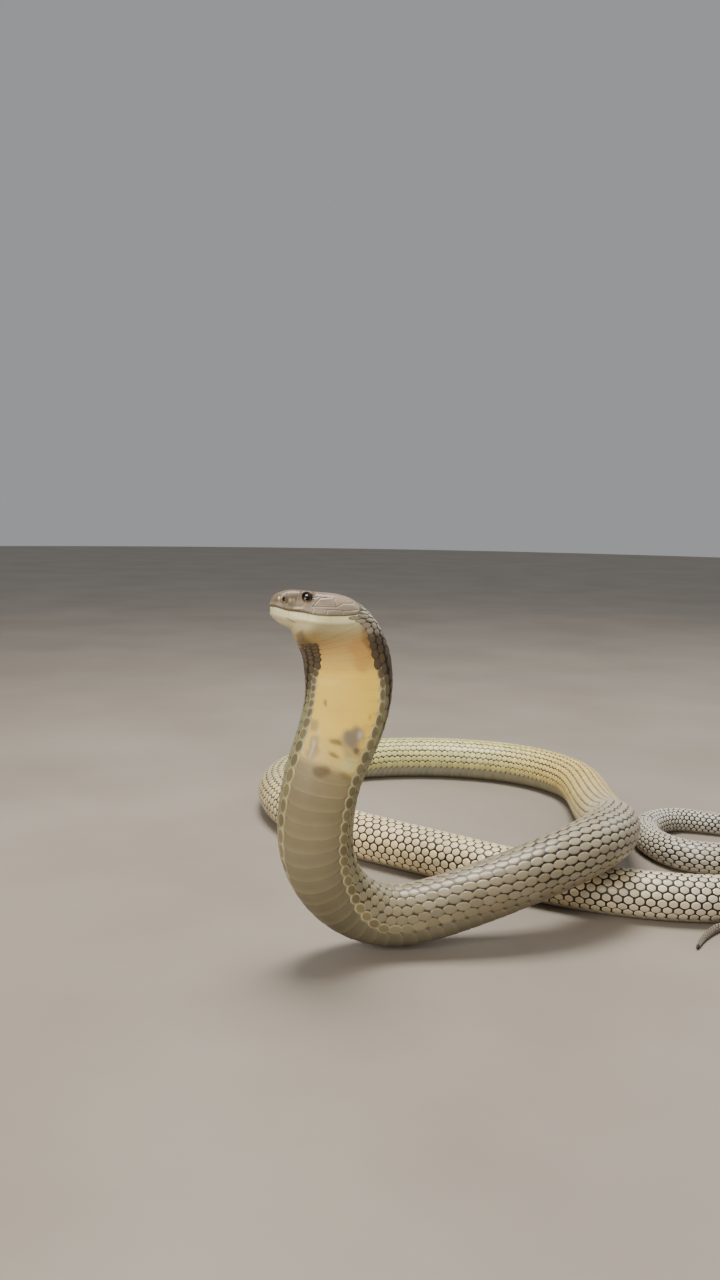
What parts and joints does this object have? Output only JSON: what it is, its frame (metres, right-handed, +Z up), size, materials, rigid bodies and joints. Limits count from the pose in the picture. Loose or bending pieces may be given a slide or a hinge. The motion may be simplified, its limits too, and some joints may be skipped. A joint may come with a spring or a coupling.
{
  "type": "king cobra",
  "caption": "Life-size king cobra with raised fore body and narrow hood, the rest of the body in a crossing loop on the floor and the tail curled beside it.",
  "frame": {"origin": "centre of the bounding box in plan, on the plane that the belly rests on", "axes": "+X to the right as the camera sees it, +Y away from the camera, +Z up"},
  "size_m": [0.8672, 0.8281, 0.3817],
  "materials": {
    "head_olive": "satin",
    "jaw_cream": "satin",
    "throat_ochre": "satin",
    "belly_olive": "satin",
    "scale_straw": "satin",
    "scale_cream": "satin",
    "tail_grey": "satin",
    "eye_bronze": "gloss"
  },
  "bodies": {
    "root": {"head": "head_olive", "lower_jaw": "jaw_cream", "eye_left": "eye_bronze", "eye_right": "eye_bronze", "hood": "throat_ochre", "neck": "belly_olive", "neck_foot": "belly_olive", "near_body": "scale_straw", "crossing_body": "scale_straw", "rear_body": "scale_straw", "right_bend": "scale_straw", "back_body": "scale_straw", "left_bend_back": "scale_straw", "left_bend_front": "scale_straw", "under_body": "scale_cream", "right_body": "scale_cream", "right_turn_front": "scale_cream", "right_turn_back": "scale_cream", "tail_root": "scale_cream", "tail_loop": "tail_grey", "tail_outer": "tail_grey", "tail_round": "tail_grey", "tail_tip": "tail_grey"}
  },
  "joints": []
}
